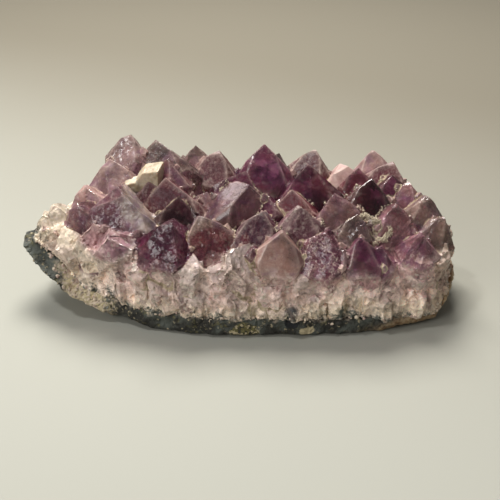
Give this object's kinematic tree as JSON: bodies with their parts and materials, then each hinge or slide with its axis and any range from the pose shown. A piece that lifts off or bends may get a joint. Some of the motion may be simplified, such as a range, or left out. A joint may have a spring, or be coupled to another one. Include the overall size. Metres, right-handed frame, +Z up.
{
  "type": "rough amethyst cluster",
  "caption": "Rough amethyst cluster: purple quartz points over broken pale columns, on a grey and tan rind, with a cream calcite crystal lodged between the points.",
  "frame": {"origin": "on the table, under the middle of the whole box", "axes": "+X along the cluster to its blunt right end, +Y away from the broken front face, +Z up through the points"},
  "size_m": [0.151, 0.0744, 0.0501],
  "materials": {
    "rind": "rough, dull, blue-grey to tan",
    "amethyst": "glassy crystal faces over translucent broken quartz",
    "calcite": "waxy, slightly frosted"
  },
  "bodies": {
    "root": {"rind": "rind", "amethyst_druse": "amethyst", "calcite_crystal": "calcite"}
  },
  "joints": []
}
